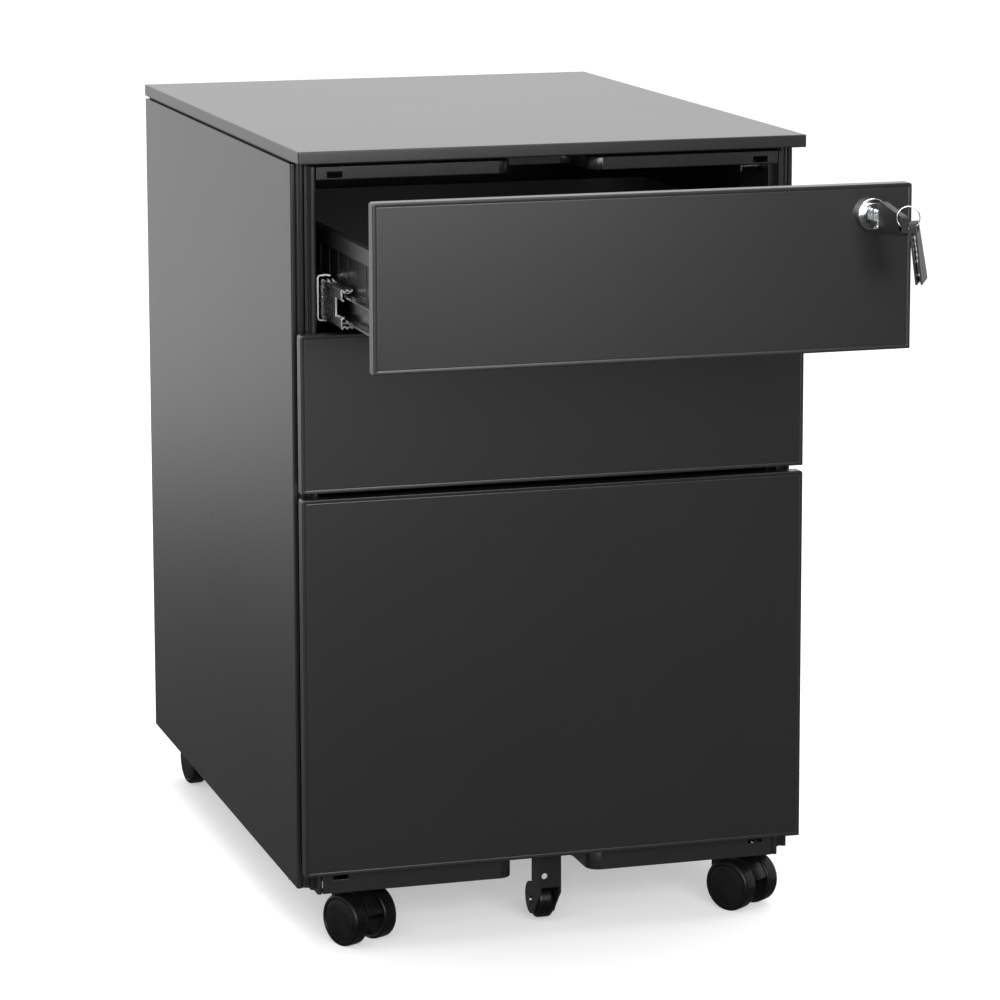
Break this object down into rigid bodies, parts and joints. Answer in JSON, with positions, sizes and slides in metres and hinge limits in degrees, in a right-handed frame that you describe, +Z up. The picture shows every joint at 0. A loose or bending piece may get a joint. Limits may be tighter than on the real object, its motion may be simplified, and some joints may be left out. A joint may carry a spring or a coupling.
{
  "type": "mobile filing pedestal",
  "caption": "Mobile sheet-steel filing pedestal with drawers on ball-bearing slides, a keyed lock, swivel casters and an anti-tilt wheel.",
  "frame": {"origin": "on the floor under the centre of the whole object's box, with the top drawer open as stored", "axes": "+X to the right seen from the front, +Y to the back, +Z up"},
  "size_m": [0.39, 0.8162, 0.602],
  "materials": {
    "powder_coat": "fine-textured satin powder coat",
    "zinc": "bright zinc plate",
    "chrome": "polished chrome plate",
    "black_plastic": "moulded nylon",
    "wheel_plastic": "moulded nylon, satin tread",
    "key_plastic": "fine-grained moulded plastic"
  },
  "bodies": {
    "cabinet": {"top_panel": "powder_coat", "left_side_panel": "powder_coat", "right_side_panel": "powder_coat", "back_panel": "powder_coat", "base_pan": "powder_coat", "top_front_rail": "powder_coat", "bottom_front_rail": "powder_coat", "left_front_upright": "powder_coat", "right_front_upright": "powder_coat", "rear_uprights": "powder_coat", "slide_outer_members": "zinc", "slide_screws": "zinc", "caster_plates": "zinc", "caster_screws": "zinc", "back_panel_screws": "zinc", "lock_bar_guides": "black_plastic"},
    "lock_bar": {"lock_bar": "zinc"},
    "top_drawer": {"top_drawer_front": "powder_coat", "top_drawer_liner": "powder_coat", "top_drawer_tray": "powder_coat", "top_slide_inner": "zinc", "lock_housing": "chrome", "lock_nut": "zinc"},
    "top_slide_pair": {"top_slide_middle": "zinc"},
    "middle_drawer": {"middle_drawer_front": "powder_coat", "middle_drawer_liner": "powder_coat", "middle_drawer_tray": "powder_coat", "middle_slide_inner": "zinc"},
    "middle_slide_pair": {"middle_slide_middle": "zinc"},
    "bottom_drawer": {"bottom_drawer_front": "powder_coat", "bottom_drawer_liner": "powder_coat", "bottom_drawer_tray": "powder_coat", "bottom_slide_inner": "zinc", "anti_tilt_bracket": "powder_coat", "anti_tilt_axle": "zinc"},
    "bottom_slide_pair": {"bottom_slide_middle": "zinc"},
    "anti_tilt_roller": {"anti_tilt_wheel": "wheel_plastic"},
    "lock_plug": {"lock_plug": "chrome", "lock_cam": "zinc"},
    "key": {"key_blade": "chrome"},
    "key_handle": {"key_bow": "key_plastic"},
    "ring": {"key_ring": "chrome"},
    "spare_key": {"spare_key_bow": "key_plastic"},
    "spare_blade": {"spare_key_blade": "chrome"},
    "caster_front_left": {"caster_hood_front_left": "black_plastic", "caster_axle_front_left": "zinc"},
    "wheel_front_left_a": {"wheel_front_left_a": "wheel_plastic"},
    "wheel_front_left_b": {"wheel_front_left_b": "wheel_plastic"},
    "caster_front_right": {"caster_hood_front_right": "black_plastic", "caster_axle_front_right": "zinc"},
    "wheel_front_right_a": {"wheel_front_right_a": "wheel_plastic"},
    "wheel_front_right_b": {"wheel_front_right_b": "wheel_plastic"},
    "caster_rear_left": {"caster_hood_rear_left": "black_plastic", "caster_axle_rear_left": "zinc"},
    "wheel_rear_left_a": {"wheel_rear_left_a": "wheel_plastic"},
    "wheel_rear_left_b": {"wheel_rear_left_b": "wheel_plastic"},
    "caster_rear_right": {"caster_hood_rear_right": "black_plastic", "caster_axle_rear_right": "zinc"},
    "wheel_rear_right_a": {"wheel_rear_right_a": "wheel_plastic"},
    "wheel_rear_right_b": {"wheel_rear_right_b": "wheel_plastic"}
  },
  "joints": [
    {"name": "top_drawer_slide", "type": "slide", "parent": "cabinet", "child": "top_drawer", "axis": [0, -1, 0], "range_m": [-0.206, 0.244]},
    {"name": "top_slide_extension", "type": "slide", "parent": "cabinet", "child": "top_slide_pair", "axis": [0, -1, 0], "range_m": [-0.103, 0.122]},
    {"name": "middle_drawer_slide", "type": "slide", "parent": "cabinet", "child": "middle_drawer", "axis": [0, -1, 0], "range_m": [0, 0.45]},
    {"name": "middle_slide_extension", "type": "slide", "parent": "cabinet", "child": "middle_slide_pair", "axis": [0, -1, 0], "range_m": [0, 0.225]},
    {"name": "bottom_drawer_slide", "type": "slide", "parent": "cabinet", "child": "bottom_drawer", "axis": [0, -1, 0], "range_m": [0, 0.45]},
    {"name": "bottom_slide_extension", "type": "slide", "parent": "cabinet", "child": "bottom_slide_pair", "axis": [0, -1, 0], "range_m": [0, 0.225]},
    {"name": "lock_bar_lift", "type": "slide", "parent": "cabinet", "child": "lock_bar", "axis": [0, 0, 1], "range_m": [0, 0.01]},
    {"name": "lock_turn", "type": "hinge", "parent": "top_drawer", "child": "lock_plug", "pos_m": [0.164, -0.33912, 0.5687], "axis": [0, 1, 0], "range_deg": [0, 90]},
    {"name": "key_pull", "type": "slide", "parent": "lock_plug", "child": "key", "axis": [0, -1, 0], "range_m": [0, 0.03]},
    {"name": "key_fold", "type": "hinge", "parent": "key", "child": "key_handle", "pos_m": [0.164, -0.36312, 0.5687], "axis": [1, 0, 0], "range_deg": [0, 20]},
    {"name": "ring_swing", "type": "hinge", "parent": "key_handle", "child": "ring", "pos_m": [0.164, -0.39712, 0.5662], "axis": [1, 0, 0], "range_deg": [-8, 15]},
    {"name": "spare_key_swing", "type": "hinge", "parent": "ring", "child": "spare_key", "pos_m": [0.17123, -0.39947, 0.5662], "axis": [0.839, -0.5299, 0.1239], "range_deg": [-15, 10]},
    {"name": "spare_blade_unfold", "type": "hinge", "parent": "spare_key", "child": "spare_blade", "pos_m": [0.17751, -0.39735, 0.53276], "axis": [0.839, -0.5299, 0.1239], "range_deg": [0, 180]},
    {"name": "anti_tilt_roll", "type": "hinge", "parent": "bottom_drawer", "child": "anti_tilt_roller", "pos_m": [0, -0.09262, 0.0183], "axis": [1, 0, 0], "continuous": true},
    {"name": "caster_front_left_swivel", "type": "hinge", "parent": "cabinet", "child": "caster_front_left", "pos_m": [-0.152, -0.08312, 0.026], "axis": [0, 0, 1], "continuous": true},
    {"name": "wheel_front_left_a_roll", "type": "hinge", "parent": "caster_front_left", "child": "wheel_front_left_a", "pos_m": [-0.14455, -0.0984, 0.02], "axis": [0.8988, 0.4384, 0], "continuous": true},
    {"name": "wheel_front_left_b_roll", "type": "hinge", "parent": "caster_front_left", "child": "wheel_front_left_b", "pos_m": [-0.14455, -0.0984, 0.02], "axis": [0.8988, 0.4384, 0], "continuous": true},
    {"name": "caster_front_right_swivel", "type": "hinge", "parent": "cabinet", "child": "caster_front_right", "pos_m": [0.152, -0.08312, 0.026], "axis": [0, 0, 1], "continuous": true},
    {"name": "wheel_front_right_a_roll", "type": "hinge", "parent": "caster_front_right", "child": "wheel_front_right_a", "pos_m": [0.16126, -0.09737, 0.02], "axis": [0.8387, 0.5446, 0], "continuous": true},
    {"name": "wheel_front_right_b_roll", "type": "hinge", "parent": "caster_front_right", "child": "wheel_front_right_b", "pos_m": [0.16126, -0.09737, 0.02], "axis": [0.8387, 0.5446, 0], "continuous": true},
    {"name": "caster_rear_left_swivel", "type": "hinge", "parent": "cabinet", "child": "caster_rear_left", "pos_m": [-0.152, 0.36188, 0.026], "axis": [0, 0, 1], "continuous": true},
    {"name": "wheel_rear_left_a_roll", "type": "hinge", "parent": "caster_rear_left", "child": "wheel_rear_left_a", "pos_m": [-0.15348, 0.37882, 0.02], "axis": [-0.9962, -0.0872, 0], "continuous": true},
    {"name": "wheel_rear_left_b_roll", "type": "hinge", "parent": "caster_rear_left", "child": "wheel_rear_left_b", "pos_m": [-0.15348, 0.37882, 0.02], "axis": [-0.9962, -0.0872, 0], "continuous": true},
    {"name": "caster_rear_right_swivel", "type": "hinge", "parent": "cabinet", "child": "caster_rear_right", "pos_m": [0.152, 0.36188, 0.026], "axis": [0, 0, 1], "continuous": true},
    {"name": "wheel_rear_right_a_roll", "type": "hinge", "parent": "caster_rear_right", "child": "wheel_rear_right_a", "pos_m": [0.16593, 0.37163, 0.02], "axis": [-0.5736, 0.8192, 0], "continuous": true},
    {"name": "wheel_rear_right_b_roll", "type": "hinge", "parent": "caster_rear_right", "child": "wheel_rear_right_b", "pos_m": [0.16593, 0.37163, 0.02], "axis": [-0.5736, 0.8192, 0], "continuous": true}
  ],
  "couplings": [
    {"joint": "top_slide_extension", "follows": "top_drawer_slide", "ratio": 0.5},
    {"joint": "middle_slide_extension", "follows": "middle_drawer_slide", "ratio": 0.5},
    {"joint": "bottom_slide_extension", "follows": "bottom_drawer_slide", "ratio": 0.5}
  ]
}
